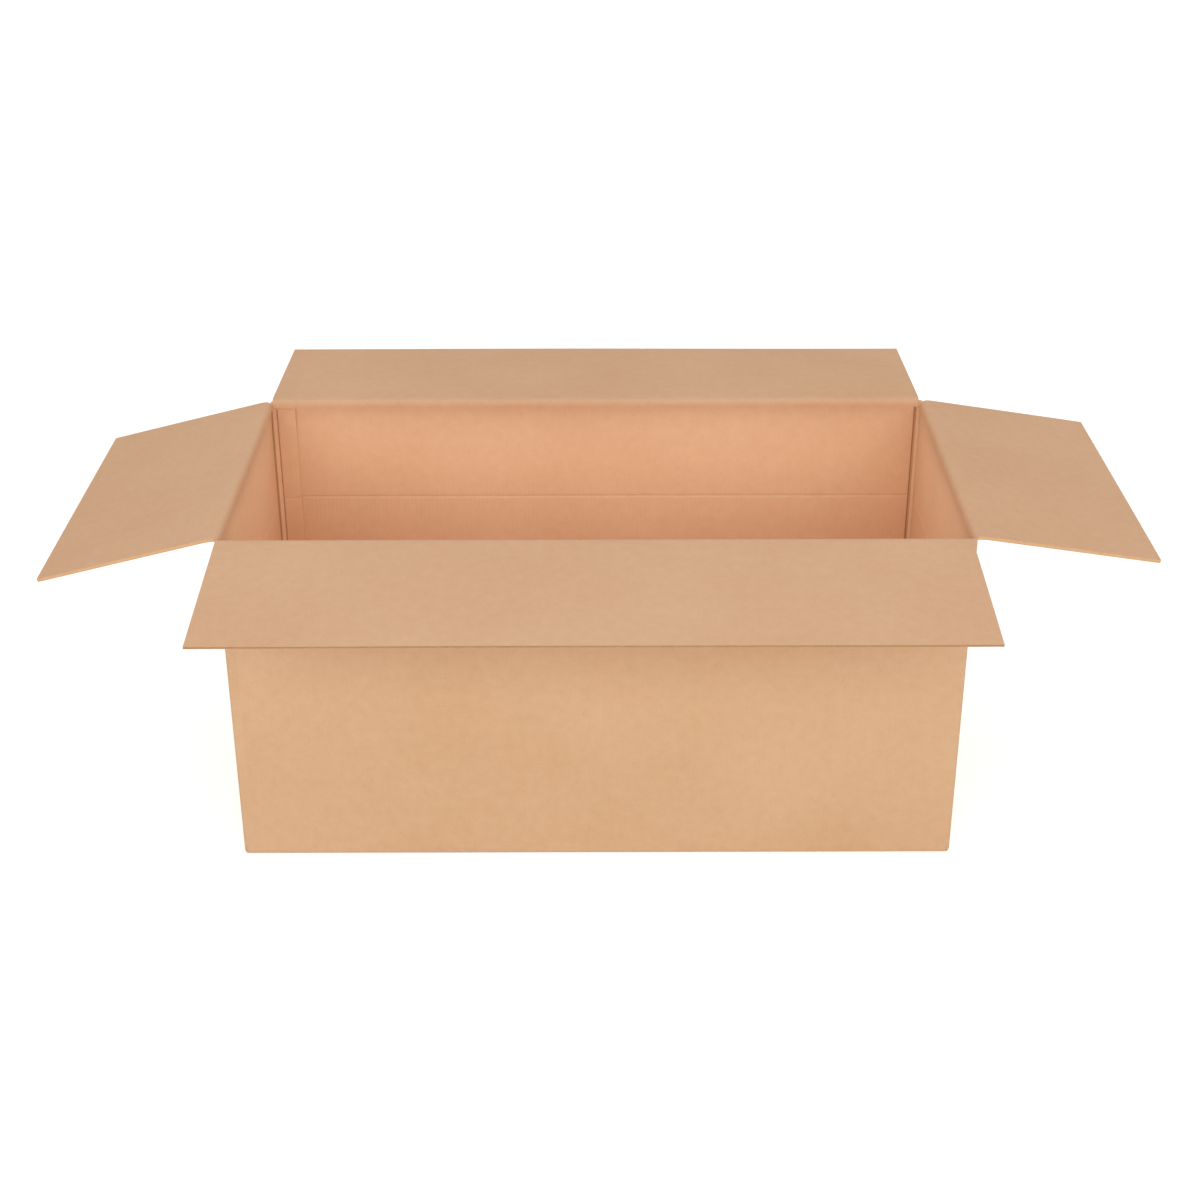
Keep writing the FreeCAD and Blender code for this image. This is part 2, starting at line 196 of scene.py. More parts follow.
def columns_across(low, high, pitch, steps):
    """Places u from low to high, at the same steps of the flutes on every board, with both ends."""
    step = pitch / steps
    inner = np.arange(math.ceil(low / step) + 1, math.floor(high / step)) * step
    return np.concatenate([[low], inner, [high]])


def in_world(side, fold, out, up, u):
    """Point at (out, up) from a fold, at u along it. fold is its (distance from the middle, height)."""
    facts = SIDES[side]
    away = fold[0] + out
    x = facts["out"][0] * away + facts["along"][0] * u
    y = facts["out"][1] * away + facts["along"][1] * u
    return np.stack([x, y, np.broadcast_to(fold[1] + up, x.shape)], axis=-1)


def leg_limit(side):
    """Furthest u of the part of a flap below its fold: a long wall's ends inside the corners."""
    return HALF_LENGTH - 5.2 * MM if side in ("front", "back") else 1.0


def sheet_place(side, u, v):
    """Place on the flat sheet of the point at u along a side and v along the flutes."""
    sign, start = SIDES[side]["sheet"]
    return np.stack(np.broadcast_arrays(start + sign * u, v), axis=-1)


def folded_board(name, side, fold, inner, outer, v, ends, fade, turn, thick, warp):
    """Closed board round a section, with open flutes at its tip, where it is as thick as thick.

    The section runs along the inner liner, round the liners' cut ends and back along the outer liner:
    P(u, k) = fold + section(k) + normal(k) (fade(k) ridges(u)) + panel normal warp(u, v(k)) + u along.
    ends holds the lowest and highest u of each station, v each station's place along the flutes."""
    sheets = Sheets(name)
    count = len(inner)
    tangent = unit_rows(np.gradient(inner, axis=0))
    inner_normal = np.stack([-tangent[:, 1], tangent[:, 0]], axis=-1) * turn
    tangent = unit_rows(np.gradient(outer, axis=0))
    outer_normal = np.stack([tangent[:, 1], -tangent[:, 0]], axis=-1) * turn
    tip = unit_rows(inner[-1] - inner[-2])
    panel_normal = inner_normal[-1]
    levels = np.array([INNER_LINER, INNER_LINER, C_END, C_END, B_START, B_START, B_END, B_END])
    depths = np.array([0, 1, 1, 0, 0, 1, 1, 0]) * FLUTE_DEPTH
    comb = inner[-1] - np.outer(levels * thick, panel_normal) - np.outer(depths, tip)

    section = np.concatenate([inner, comb, outer[::-1]])
    direction = np.concatenate([inner_normal, np.tile(panel_normal, (8, 1)), outer_normal[::-1]])
    inner_share = np.concatenate([fade, 1 - levels, np.zeros(count)])
    outer_share = np.concatenate([np.zeros(count), -levels, fade[::-1]])
    stations = np.concatenate([np.arange(count), np.full(8, count - 1), np.arange(count)[::-1]])
    last = np.arange(count) == count - 1
    at_tip = np.concatenate([last, depths == 0, last[::-1]])
    place_v = np.concatenate([v, v[-1] + np.arange(1, 9) * MM, v[::-1]])

    low, high = ends
    u = columns_across(low.min(), high.max(), C_PITCH, RIDGE_STEPS)[None, :]
    u = np.clip(u, low[stations][:, None], high[stations][:, None])
    lift = inner_share[:, None] * ridges(u, side, INNER_RIDGE, C_PITCH)
    lift = lift + outer_share[:, None] * ridges(u, side, OUTER_RIDGE, B_PITCH)
    bend = warp(u, v[stations][:, None])
    cut = at_tip[:, None] * ragged(u)
    flat = [section[:, axis, None] + direction[:, axis, None] * lift + panel_normal[axis] * bend
            - tip[axis] * cut for axis in (0, 1)]
    points = in_world(side, fold, flat[0], flat[1], u)
    finish = np.concatenate([np.full(count - 1, INSIDE), np.full(9, CUT),
                             np.full(count - 1, OUTSIDE), [CUT]])
    sheets.grid(points, sheet_place(side, u, place_v[:, None]), finish, wrap=True)

    along = np.array(SIDES[side]["along"] + (0,), float)
    for column, inward in ((0, 1), (-1, -1)):
        add_side_cut(sheets, points[:, column], count, v, along * inward)
    for start, end, pitch in ((INNER_LINER, C_END, C_PITCH), (B_START, B_END, B_PITCH)):
        add_medium(sheets, side, fold, inner[-1], tip, panel_normal, (start * thick, end * thick), pitch,
                   (low[-1], high[-1]), lambda u: warp(u, v[-1]))
    return sheets


def add_side_cut(sheets, ring, count, v, inward):
    """Cut along the flutes: straight across from liner to liner, with the flutes torn back between them."""
    edge_in = ring[:count]
    edge_out = ring[count + 8:][::-1]
    body = slice(0, count - 1)
    across = CUT_LEVELS[None, :, None]
    points = edge_in[body, None] * (1 - across) + edge_out[body, None] * across
    tear = 0.75 + 0.25 * np.sin(v[body] * 90) + 0.15 * np.sin(v[body] * 333)
    tear[0] = 0
    tear[-1] = 0
    points = points + (tear[:, None] * CUT_RECESS[None, :])[:, :, None] * inward
    places = np.stack(np.broadcast_arrays(v[body, None], 7 + CUT_LEVELS[None, :] * BOARD), axis=-1)
    sheets.grid(points, places, CUT)
    tip = count - 1
    strips = ((tip - 1, tip, tip + 1, tip + 2), (tip + 3, tip + 4, tip + 5, tip + 6),
              (tip + 7, tip + 8, tip + 9, tip + 10))
    for a, b, c, d in strips:
        points = np.array([[ring[a], ring[b]], [ring[d], ring[c]]])
        sheets.grid(points, np.zeros((2, 2, 2)) + points[..., 2:] * 0.1, CUT)


def add_medium(sheets, side, fold, tip_point, tip, normal, levels, pitch, ends, bend):
    """Fluted paper at the tip: lift(u) = (space / 2 - paper / 2) sin(2 pi u / pitch) between two liners."""
    low, high = ends[0] + 1.2 * MM, ends[1] - 1.2 * MM
    u = columns_across(low, high, pitch, FLUTE_STEPS)[None, :]
    space = levels[1] - levels[0]
    middle = tip_point - normal * (levels[0] + levels[1]) / 2
    wave = (space - MEDIUM) / 2 * np.sin(2 * np.pi * u / pitch) + bend(u)
    front = 0.25 * MM + ragged(u)
    back = np.full_like(u, FLUTE_DEPTH + 0.2 * MM)
    half = MEDIUM / 2
    rows = ((front, half), (front, -half), (back, -half), (back, half))
    points = []
    for depth, offset in rows:
        lift = wave + offset
        flat = [middle[axis] + normal[axis] * lift - tip[axis] * depth for axis in (0, 1)]
        points.append(in_world(side, fold, flat[0][0], flat[1][0], u[0]))
    points = np.array(points)
    places = np.stack(np.broadcast_arrays(u, np.array([5, 5.0003, 5.012, 5.0123])[:, None]), axis=-1)
    sheets.grid(points, places, CUT, wrap=True)
    close_strip(sheets, points)
    for end, inward in zip(ends, (1, -1)):
        add_side_paper(sheets, side, fold, tip_point, tip, normal, levels, end, inward, bend)


def add_side_paper(sheets, side, fold, tip_point, tip, normal, levels, end, inward, bend):
    """Flat paper between two liners, which closes the open flutes' space at a side cut."""
    across = np.array([levels[0] - 0.05 * MM, levels[1] + 0.05 * MM])
    back = FLUTE_DEPTH + 0.1 * MM
    strip = []
    for offset, depth in ((0.3 * MM, 0.5 * MM), (0.6 * MM, 0.5 * MM), (0.6 * MM, back), (0.3 * MM, back)):
        u = np.full(2, end + inward * offset)
        lift = bend(u) - across
        flat = [tip_point[axis] + normal[axis] * lift - tip[axis] * depth for axis in (0, 1)]
        strip.append(in_world(side, fold, flat[0], flat[1], u))
    strip = np.array(strip)
    sheets.grid(strip, 5 + strip[..., 1:] * 0.3, CUT, wrap=True)
    close_strip(sheets, strip)


def close_strip(sheets, points):
    """Closes both ends of a strip that was added as four wrapped rows of points."""
    for column in (0, -1):
        corners = points[:, column][[0, 1, 3, 2]].reshape(2, 2, 3)
        sheets.grid(corners, np.full((2, 2, 2), 5.0), CUT)


def bezier(start, start_handle, end_handle, end, steps):
    """Cubic curve through start and end, steps + 1 points."""
    t = np.linspace(0, 1, steps + 1)[:, None]
    start, start_handle, end_handle, end = map(np.asarray, (start, start_handle, end_handle, end))
    return ((1 - t) ** 3 * start + 3 * (1 - t) ** 2 * t * start_handle
            + 3 * (1 - t) * t ** 2 * end_handle + t ** 3 * end)


def top_flap(name, side, hinge, droop, lift, reach, ends, taper, crushed, warp):
    """Open top flap with the top of its wall: the inner liner rolls over the crest in one cubic curve.

    lift is the height of the flap's inner face over the hinge. ends are its u ends past the fold,
    taper how much the second one draws in by 41 mm from the fold, crushed how much thinner its tip is."""
    gap = 0.3 * MM
    fold = (abs(hinge[0]) + abs(hinge[1]), hinge[2])
    along = np.array([math.cos(droop), -math.sin(droop)])
    normal = np.array([math.sin(droop), math.cos(droop)])
    leg_low = WALL_TOP - hinge[2]
    leg_high = -7.5 * MM
    panel_start = 14 * MM
    crest_steps = 16
    legs = np.linspace(leg_low, leg_high, 3)[:-1]
    panel = np.concatenate([np.linspace(panel_start, reach - FLUTE_DEPTH, 11)[1:], [reach]])

    rolled = lift / FULL_BOARD
    crest = bezier((-gap - BOARD, leg_high), (-5 * MM, (0.2 + 4 * rolled) * MM),
                   (1.6 - 3 * rolled) * MM * along + lift * normal,
                   panel_start * along + lift * normal, crest_steps)
    inner = np.concatenate([np.stack([np.full(len(legs), -gap - BOARD), legs], axis=-1), crest,
                            panel[:, None] * along + lift * normal])
    corner = (-gap * 0.6, -gap)
    crush = panel_start * along + (lift - BOARD) * normal
    half = crest_steps // 2
    rise = np.linspace((-gap, leg_high), (-gap, -2 * gap), half)
    spread = np.linspace(0, 1, half + 1)[1:, None] ** 1.3
    sweep = np.array(corner) + (crush - np.array(corner)) * spread
    outer = np.concatenate([np.stack([np.full(len(legs), -gap), legs], axis=-1), rise, [corner], sweep,
                            panel[:, None] * along + (lift - BOARD) * normal])
    outer[-1] += crushed * normal
    steps = np.linalg.norm(np.diff(inner, axis=0), axis=1)
    v = WALL_TOP + np.concatenate([[0], np.cumsum(steps)])
    past_fold = v - v[len(legs) + half]

    leg_end = leg_limit(side)
    draw = taper * np.clip(past_fold / (41 * MM), 0, 1)
    before = past_fold <= 0
    low = np.where(before, max(ends[0], -leg_end), ends[0])
    high = np.where(before, min(ends[1], leg_end), ends[1] - draw)
    fade = np.clip(np.abs(past_fold) / (12 * MM) - 0.6, 0, 1)
    fade[:len(legs) + 1] = 1
    return folded_board(name, side, fold, inner, outer, v, (low, high), fade, 1, BOARD - crushed,
                        lambda u, at: warp(u, np.maximum(at - v[len(legs) + crest_steps], 0)))


def bottom_flap(name, side, underside, reach, ends, lift):
    """Flap folded in at the foot of a wall, round an outside radius. lift(v) raises it from there."""
    fold = (SIDES[side]["reach"], underside)
    quarter = np.linspace(0, math.pi / 2, 6)
    legs = np.array([WALL_FOOT - underside, 13.5 * MM - underside / 4])
    flat = np.concatenate([np.linspace(12 * MM, reach - FLUTE_DEPTH, 9), [reach]])
    tape_step = 0 if underside > 0 else 0.17 * MM
    if tape_step:
        flat = np.sort(np.append(flat, [reach - 25.2 * MM, reach - 24.8 * MM]))
    inner_radius = 1.5 * MM
    turn_in = np.stack([-BOARD - inner_radius * (1 - np.cos(quarter)),
                        FULL_BOARD + inner_radius * (1 - np.sin(quarter))], axis=-1)
    turn_out = np.stack([-FOLD_RADIUS * (1 - np.cos(quarter)), FOLD_RADIUS * (1 - np.sin(quarter))], axis=-1)
    raised = np.where(flat > reach - 25 * MM, tape_step, 0) + OUTER_RIDGE
    inner = np.concatenate([np.stack([np.full(2, -BOARD), legs], axis=-1), turn_in,
                            np.stack([-flat, np.full(len(flat), FULL_BOARD)], axis=-1)])
    outer = np.concatenate([np.stack([np.zeros(2), legs], axis=-1), turn_out,
                            np.stack([-flat, raised], axis=-1)])
    steps = np.linalg.norm(np.diff(inner, axis=0), axis=1)
    v = WALL_FOOT - np.concatenate([[0], np.cumsum(steps)])
    leg_end = leg_limit(side)
    before = np.arange(len(inner)) < 8
    low = np.where(before, max(ends[0], -leg_end), ends[0])
    high = np.where(before, min(ends[1], leg_end), ends[1])
    fade = np.where((np.arange(len(inner)) > 1) & (np.arange(len(inner)) < 9), 0, 1)
    return folded_board(name, side, fold, inner, outer, v, (low, high), fade, -1, FULL_BOARD,
                        lambda u, at: lift(u, np.maximum(v[8] - at, 0)))


def plain_corner():
    """Outer and inner stations of a folded corner, from the outer corner point, and the painted shade at
    each: a buckled liner between two grooves on the inside, a quarter circle on the outside."""
    face = BOARD / MM
    groove = np.array([(15.5, face), (14.8, face - 0.7), (14.2, face - 1.8), (13.5, face - 1.2),
                       (12.9, face)])
    t = np.linspace(0, 1, 7)[1:-1]
    bulge = 1.1 * np.sin(np.pi * t)
    bead = np.stack([12.9 + (face - 12.9) * t + bulge, face + (12.9 - face) * t + bulge], axis=-1)
    inner = np.concatenate([groove, bead, groove[::-1, ::-1]])
    groove_darkening = np.concatenate([GROOVE_DARKENING, np.zeros(len(bead) - 2), [0.5, 0.9], GROOVE_DARKENING[::-1]])
    turn = np.linspace(0, math.pi / 2, 7)
    arc = np.stack([5 - 5 * np.sin(turn), 5 - 5 * np.cos(turn)], axis=-1)
    lead = np.array([(15.5, 0), (13, 0), (10.5, 0), (8, 0)])
    outer = np.concatenate([lead, arc, lead[::-1, ::-1]])
    return outer * MM, inner * MM, groove_darkening


def glued_corner():
    """The same where the sheet's two ends meet: outside, a slit beside the back wall's cut end."""
    face = BOARD / MM
    near = face - PINCH / MM
    outer = np.array([(15.5, 0), (12, 0), (8, 0), (4, 0), (2.1, 0), (2, 0.4), (2, face - 0.2),
                      (2.8, face + 0.1), (2, 7.6), (1.2, 9), (0.35, 10.6), (0, 12.2), (0, 16), (0, 19),
                      (0, 22.5)])
    inner = np.array([(15.5, face), (13, face), (11, face), (9, face), (face, face), (face, 9), (face, 11),
                      (face, 13), (face, 15), (face - 0.5, 17), (near + 0.2, 19.2), (near - 0.6, 20.2),
                      (near - 1.2, 21), (near - 0.7, 21.8), (near + 0.1, 22.5)])
    # The last array is painted shade: how much darker the paper is drawn at each inner station.
    return outer * MM, inner * MM, np.concatenate([np.zeros(10), GROOVE_DARKENING])


WALK = (
    {"side": "front", "step": (1, 0), "corner": (1, -1), "reach": CORNER_REACH},
    {"side": "right", "step": (0, 1), "corner": (1, 1), "reach": CORNER_REACH},
    {"side": "back", "step": (-1, 0), "corner": (-1, 1), "reach": TAB_CORNER_REACH},
    {"side": "left", "step": (0, -1), "corner": (-1, -1), "reach": CORNER_REACH},
)
BOWS = {"front": 1.5 * MM, "right": 1.5 * MM, "back": 1 * MM, "left": 3.5 * MM}
IN_CORNER = 9.0


def corner_frame(number):
    """Corner point at the end of a wall, the direction back along that wall, and on along the next."""
    here = WALK[number]
    point = np.array([here["corner"][0] * HALF_LENGTH, here["corner"][1] * HALF_WIDTH])
    return point, -np.array(here["step"], float), np.array(WALK[(number + 1) % 4]["step"], float)


def corner_stations(number):
    outer, inner, groove_darkening = glued_corner() if number == 2 else plain_corner()
    point, back, on = corner_frame(number)
    placed = [point + stations[:, :1] * back + stations[:, 1:] * on for stations in (outer, inner)]
    return *placed, groove_darkening


def wall_ring():
    """Four walls between their folds, one closed ring of board.

    P(station, z) = plan(station) + outward (bow(u, z) + score(z)) - inward ridges(u)."""
    outer, inner, outward, place, along, shape, side_of, groove_shade = [], [], [], [], [], [], [], []
    for number, here in enumerate(WALK):
        side = here["side"]
        step = np.array(here["step"], float)
        out = np.array(SIDES[side]["out"], float)
        half = HALF_LENGTH if side in ("front", "back") else HALF_WIDTH
        before = WALK[number - 1]["reach"]
        after = CORNER_REACH
        w = columns_across(-half + before, half - after, C_PITCH, RIDGE_STEPS)[1:-1]
        if side in ("back", "left"):
            w = -columns_across(-half + after, half - before, C_PITCH, RIDGE_STEPS)[1:-1][::-1]
        base = out * SIDES[side]["reach"]
        outer.append(base + w[:, None] * step)
        inner.append(base - out * BOARD + w[:, None] * step)
        outward.append(np.tile(out, (len(w), 1)))
        centre = (before - after) / 2
        shape.append((w - centre) / (half - (before + after) / 2))
        along.append(w * (step @ np.array(SIDES[side]["along"])))
        start = SIDES[side]["sheet"][1]
        place.append(start + w)
        side_of += [side] * len(w)
        corner_outer, corner_inner, groove_darkening = corner_stations(number)
        # Painted shade: darker paper drawn in the corners' grooves, none on the plain walls.
        groove_shade += [np.zeros(len(w)), groove_darkening]
        outer.append(corner_outer)
        inner.append(corner_inner)
        count = len(corner_outer)
        outward.append(np.zeros((count, 2)))
        shape.append(np.ones(count))
        along.append(np.full(count, IN_CORNER))
        place.append(start + half + np.linspace(-after, here["reach"], count))
        side_of += [side] * count
    outer, inner, outward = (np.concatenate(part) for part in (outer, inner, outward))
    shape, along, place = (np.concatenate(part) for part in (shape, along, place))
    side_of = np.array(side_of)

    heights = np.concatenate([[WALL_FOOT], np.array([60, 130, 210, 290, 360, 388]) * MM, SCORE_ROWS,
                              np.array([412, 440, 500, 545]) * MM, [WALL_TOP]])
    score = np.where(np.abs(heights - SCORE_HEIGHT) < MM, SCORE_DEPTH, 0)
    rise = np.sin(np.pi * np.clip((heights - FLAT_TOP) / (WALL_TOP - FLAT_TOP), 0, 1)) ** 2
    bow = np.select([side_of == side for side in BOWS], list(BOWS.values())) * (1 - shape ** 2) ** 2
    on_wall = along < IN_CORNER
    from_corner = HALF_WIDTH - along - TAB_CORNER_REACH
    pinch = PINCH * np.clip(1 - from_corner / PINCH_LENGTH, 0, 1) ** 2 * ((side_of == "left") & on_wall)
    pinched = np.clip((WALL_TOP - heights) / (20 * MM), 0, 1)[:, None] * pinch
    score_end = np.clip((1 - np.abs(shape)) * 150, 0, 1)
    inner_ridge = np.zeros(len(along))
    outer_ridge = np.zeros(len(along))
    for side in SIDES:
        mine = (side_of == side) & on_wall
        inner_ridge[mine] = ridges(along[mine], side, INNER_RIDGE, C_PITCH)
        outer_ridge[mine] = ridges(along[mine], side, OUTER_RIDGE, B_PITCH)
    below = (heights < SCORE_HEIGHT - 4 * MM)[:, None]
    near_corner = np.clip((np.abs(along) - 0.27) / 0.16, 0, 1) * (side_of == "back")
    deeper = 1 + below * near_corner * (DEEP_RIDGE / INNER_RIDGE - 1)
    shift_in = rise[:, None] * bow + score[:, None] * score_end - inner_ridge * deeper + pinched
    shift_out = rise[:, None] * bow + outer_ridge
    plan_in = inner[None] + shift_in[..., None] * outward[None]
    plan_out = outer[None] + shift_out[..., None] * outward[None]
    z = np.broadcast_to(heights[:, None, None], plan_in.shape[:2] + (1,))
    rows_in = np.concatenate([plan_in, z], axis=-1)
    rows_out = np.concatenate([plan_out, z], axis=-1)[::-1]
    points = np.concatenate([rows_in, rows_out])
    points = np.concatenate([points, points[:, :1]], axis=1)
    v = np.concatenate([heights, heights[::-1]])[:, None]
    u = np.concatenate([place, [place[0] + 3.6]])[None, :]
    count = len(heights)
    finish = np.concatenate([np.full(count - 1, INSIDE), [CUT], np.full(count - 1, OUTSIDE), [CUT]])
    groove_shade = np.concatenate(groove_shade)
    groove_shade = np.append(groove_shade, groove_shade[0]) * (np.arange(2 * count) < count)[:, None]
    sheets = Sheets("carton_walls")
    sheets.grid(points, np.stack(np.broadcast_arrays(u, v), axis=-1), finish, wrap=True, groove_shade=groove_shade)
    return sheets


def corner_post(sheets, number, c1, c2, low, high):
    """Corner between two flaps: the ring's outline from c1 back along one wall to c2 along the next.

    low and high are heights at the two walls; each point's height runs evenly between them."""
    outer = (glued_corner() if number == 2 else plain_corner())[0]
    keep = outer[(outer[:, 0] < c1) & (outer[:, 1] < c2)]
    hidden = BOARD - 0.1 * MM
    outline = np.concatenate([[(c1, 0)], keep, [(0, c2), (hidden, c2), (c1, hidden)]])
    point, back, on = corner_frame(number)
    share = np.clip((outline[:, 1] - outline[:, 0]) / (8 * MM) + 0.5, 0, 1)
    centre = np.array([0.55 * c1, 0.5 * c2])
    rows = []
    for ends, inset, offset in ((low, 0.15, 0), (low, 0, 0.8 * MM), (high, 0, -0.8 * MM), (high, 0.15, 0)):
        plan = outline + (centre - outline) * inset
        plan = point + plan[:, :1] * back + plan[:, 1:] * on
        height = ends[0] + (ends[1] - ends[0]) * share + offset
        row = np.concatenate([plan, height[:, None]], axis=-1)
        rows.append(np.concatenate([row, row[:1]]))
    points = np.array(rows)
    lengths = np.cumsum(np.linalg.norm(np.diff(points[1, :, :2], axis=0), axis=1))
    u = np.broadcast_to(np.concatenate([[0], lengths])[None, :] + number * 0.9, points.shape[:2])
    sheets.grid(points, np.stack([u, points[..., 2]], axis=-1), [CUT, OUTSIDE, CUT])


def corner_posts():
    """Corners above the walls' tops and below their feet, between the ends of the flaps."""
    sheets = Sheets("corner_posts")
    front_end = 5.4 * MM
    side_end = HALF_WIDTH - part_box("left_top_flap")[1].y + 0.15 * MM
    top = (BODY_TOP - 0.2 * MM, BODY_TOP - 0.8 * MM)
    foot_end = 9.2 * MM
    for number, here in enumerate(WALK):
        turned = number in (1, 3)
        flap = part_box("front_top_flap" if here["corner"][1] < 0 else "back_top_flap")
        flap_end = flap[1].x if here["corner"][0] > 0 else -flap[0].x
        long_end = max(front_end, HALF_LENGTH - flap_end + 0.15 * MM)
        c1, c2 = (side_end, long_end) if turned else (long_end, side_end)
        low_c1, low_c2 = (foot_end, front_end) if turned else (front_end, foot_end)
        crest = top[::-1] if turned else top
        foot = (LAP_TOP, 2 * MM) if turned else (2 * MM, LAP_TOP)
        corner_post(sheets, number, c1, c2, (WALL_TOP, WALL_TOP), crest)
        corner_post(sheets, number, low_c1, low_c2, foot, (WALL_FOOT, WALL_FOOT))
    return sheets


def glue_tab():
    """Tab on the inside of the back wall, with the buckled liner beside it: an outline raised along z."""
    front = 2 * BOARD / MM + 1
    under = BOARD / MM + 0.05
    near = (BOARD - PINCH) / MM
    t = np.linspace(0, 1, 8)
    bulge = 1.1 * np.sin(np.pi * t)
    bead = np.stack([near + 0.2 + (12 - near) * t + bulge * 0.3,
                     TAB_START + (front - TAB_START) * t + bulge], axis=-1)
    groove = np.array([(12.9, front - 0.9), (13.5, front - 1.8), (14.1, front - 0.9), (14.8, front)])
    face_x = np.linspace(16.2, TAB_END, 25)
    face = np.stack([face_x, np.full(len(face_x), front)], axis=-1)
    edge = np.stack([TAB_END - CUT_RECESS[1:-1] / MM, front - CUT_LEVELS[1:-1] * (front - under)], axis=-1)
    back_face = [(TAB_END, under), (near, under)]
    outline = np.concatenate([[(near, TAB_START)], bead, groove, face, edge, back_face]) * MM
    # Painted shade: how much darker the paper is drawn in the grooves beside the tab.
    groove_darkening = np.concatenate([[1, 1, 1, 0.6], np.zeros(len(bead) - 3), 0.6 * GROOVE_DARKENING[1:]])
    groove_darkening = np.concatenate([groove_darkening, np.zeros(len(outline) + 1 - len(groove_darkening))])
    faced = (outline[:, 0] > 14.7 * MM) & (outline[:, 1] > (front - 0.01) * MM)
    point, back, on = corner_frame(2)
    heights = np.concatenate([np.array([15.4, 60, 150, 240, 320, 388]) * MM, SCORE_ROWS,
                              np.array([412, 440, 500, 550, TAB_TOP]) * MM])
    score = np.where(np.abs(heights - SCORE_HEIGHT) < MM, SCORE_DEPTH * 0.8, 0)
    rows = []
    for height, press in zip(heights, score):
        x = point[0] + outline[:, 0]
        lift = np.where(faced, ridges(x, "back", INNER_RIDGE, C_PITCH) - press, 0)
        plan = point + outline[:, :1] * back + (outline[:, 1:] + lift[:, None]) * on
        row = np.concatenate([plan, np.full((len(plan), 1), height)], axis=-1)
        rows.append(np.concatenate([row, row[:1]]))
    points = np.array(rows)
    lengths = np.concatenate([[0], np.cumsum(np.linalg.norm(np.diff(points[0], axis=0), axis=1))])
    places = np.stack(np.broadcast_arrays(4 - lengths[None, :], heights[:, None]), axis=-1)
    sheets = Sheets("glue_tab")
    edge_start = 1 + len(bead) + len(groove) + len(face) - 1
    columns = np.arange(points.shape[1] - 1)
    quads_finish = np.where((columns >= edge_start) & (columns <= edge_start + len(edge)), CUT, INSIDE)
    for first, last in runs(quads_finish):
        part = slice(first, last + 2)
        sheets.grid(points[:, part], places[:, part], int(quads_finish[first]), groove_shade=groove_darkening[part])
    return sheets


def runs(values):
    """First and last index of each run of equal values."""
    changes = np.flatnonzero(np.diff(values)) + 1
    return list(zip([0, *changes], [*(changes - 1), len(values) - 1]))


def bottom_tape():
    """Film under the bottom seam and up both end walls: a path of (x, z) with a width across y."""
    film = TAPE_FILM
    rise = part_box("bottom_tape")[1].z
    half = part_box("bottom_tape")[1].y
    end = HALF_LENGTH - 3 * MM
    side = np.linspace(rise, LAP_TOP, 12)
    path = np.concatenate([np.stack([np.full(12, HALF_LENGTH), side], axis=-1), [(end, film)],
                           np.stack([np.linspace(end - 2 * MM, 0, 60), np.full(60, film)], axis=-1)])
    path = np.concatenate([path, (path * (-1, 1))[-2::-1]])
    tangent = unit_rows(np.gradient(path, axis=0))
    y = np.linspace(-half, half, 15)
    v = np.concatenate([[0], np.cumsum(np.linalg.norm(np.diff(path, axis=0), axis=1))])
    outside = path + np.stack([-tangent[:, 1], tangent[:, 0]], axis=-1) * film
    outside[:, 1] = np.maximum(outside[:, 1], 0)
    layers = []
    for line in (path, outside):
        x = np.broadcast_to(line[:, 0, None], (len(line), len(y)))
        z = np.broadcast_to(line[:, 1, None], x.shape)
        layers.append(np.stack([x, np.broadcast_to(y[None, :], x.shape), z], axis=-1))
    loop = np.concatenate([layers[0], layers[1][:, ::-1]], axis=1)
    loop = np.concatenate([loop, loop[:, :1]], axis=1)
    across = np.concatenate([y, y[::-1], y[:1]])
    sheets = Sheets("bottom_tape_film")
    sheets.grid(loop, np.stack(np.broadcast_arrays(across[None, :], v[:, None]), axis=-1), 0)
    for row in (0, -1):
        ends = np.stack([layers[0][row], layers[1][row]])
        sheets.grid(ends, np.stack([ends[..., 1], ends[..., 2]], axis=-1), 0)
    return sheets


def linear(colour):
    """Linear values of a colour written as six hexadecimal digits."""
    parts = [int(colour[start:start + 2], 16) / 255 for start in (0, 2, 4)]
    curve = [part / 12.92 if part <= 0.04045 else ((part + 0.055) / 1.055) ** 2.4 for part in parts]
    return (*curve, 1)


